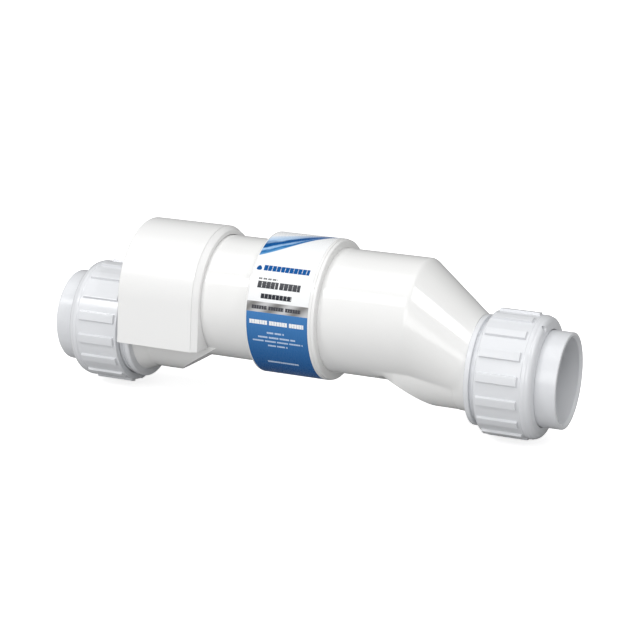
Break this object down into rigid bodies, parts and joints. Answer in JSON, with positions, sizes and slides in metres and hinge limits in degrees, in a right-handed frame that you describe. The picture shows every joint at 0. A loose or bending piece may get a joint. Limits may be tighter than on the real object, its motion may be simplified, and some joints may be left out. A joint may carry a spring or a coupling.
{
  "type": "salt chlorine generator cell",
  "caption": "In-line pool chlorinator cell: raised round electrode chamber with offset ports, terminal hood, labelled centre band and ribbed union nuts on slip pipe tailpieces.",
  "frame": {"origin": "centre of the inlet socket's pipe stop, on the port axis", "axes": "+X along the port axis from inlet to outlet, +Z towards the raised electrode chamber, +Y towards the cord gland"},
  "size_m": [0.3905, 0.1259, 0.1263],
  "materials": {
    "housing_pvc": "satin moulded",
    "hood_plastic": "satin moulded",
    "union_pvc": "glossy moulded",
    "printed_label": "glossy printed film",
    "seal_rubber": "matte",
    "coated_titanium": "matte oxide coating",
    "bare_titanium": "satin",
    "stainless_steel": "satin",
    "inner_plastic": "matte",
    "board_plastic": "matte",
    "gland_plastic": "satin"
  },
  "bodies": {
    "cell": {"anode_bus": "bare_titanium", "anode_plate_1": "coated_titanium", "anode_plate_2": "coated_titanium", "anode_plate_3": "coated_titanium", "anode_plate_4": "coated_titanium", "anode_stud": "bare_titanium", "cathode_bus": "bare_titanium", "cathode_plate_1": "bare_titanium", "cathode_plate_2": "bare_titanium", "cathode_plate_3": "bare_titanium", "cathode_plate_4": "bare_titanium", "cathode_plate_5": "bare_titanium", "cathode_stud": "bare_titanium", "centre_band": "housing_pvc", "front_hood_base": "hood_plastic", "gland_body": "gland_plastic", "gland_lock_nut": "gland_plastic", "gland_seal": "seal_rubber", "hood_screws": "stainless_steel", "inlet_housing": "housing_pvc", "inlet_lower_comb": "inner_plastic", "inlet_seal_ring": "seal_rubber", "inlet_union_end": "union_pvc", "inlet_upper_comb": "inner_plastic", "label": "printed_label", "level_probe": "bare_titanium", "mixing_baffle": "inner_plastic", "outlet_housing": "housing_pvc", "outlet_lower_comb": "inner_plastic", "outlet_seal_ring": "seal_rubber", "outlet_union_end": "union_pvc", "outlet_upper_comb": "inner_plastic", "rear_hood_base": "hood_plastic", "stud_nuts": "stainless_steel", "stud_seals": "seal_rubber", "stud_washers": "stainless_steel", "terminal_board": "board_plastic", "terminal_hood": "hood_plastic"},
    "inlet_tail": {"inlet_tailpiece": "union_pvc"},
    "outlet_tail": {"outlet_tailpiece": "union_pvc"},
    "inlet_nut": {"inlet_union_nut": "union_pvc"},
    "outlet_nut": {"outlet_union_nut": "union_pvc"},
    "gland_clamp": {"gland_nut": "gland_plastic"}
  },
  "joints": [
    {"name": "inlet_pull", "type": "slide", "parent": "cell", "child": "inlet_tail", "axis": [-1, 0, 0], "range_m": [0, 0.0229]},
    {"name": "inlet_nut_spin", "type": "hinge", "parent": "inlet_tail", "child": "inlet_nut", "pos_m": [0, 0, 0], "axis": [-1, 0, 0], "range_deg": [0, 1620]},
    {"name": "outlet_pull", "type": "slide", "parent": "cell", "child": "outlet_tail", "axis": [1, 0, 0], "range_m": [0, 0.0229]},
    {"name": "outlet_nut_spin", "type": "hinge", "parent": "outlet_tail", "child": "outlet_nut", "pos_m": [0.3317, 0, 0], "axis": [1, 0, 0], "range_deg": [0, 1620]},
    {"name": "gland_nut_turn", "type": "hinge", "parent": "cell", "child": "gland_clamp", "pos_m": [0.0566, 0.06425, 0.014], "axis": [0, 1, 0], "range_deg": [0, 360]}
  ],
  "couplings": [
    {"joint": "inlet_pull", "follows": "inlet_nut_spin", "m_per_rad": 0.00080851},
    {"joint": "outlet_pull", "follows": "outlet_nut_spin", "m_per_rad": 0.00080851}
  ]
}
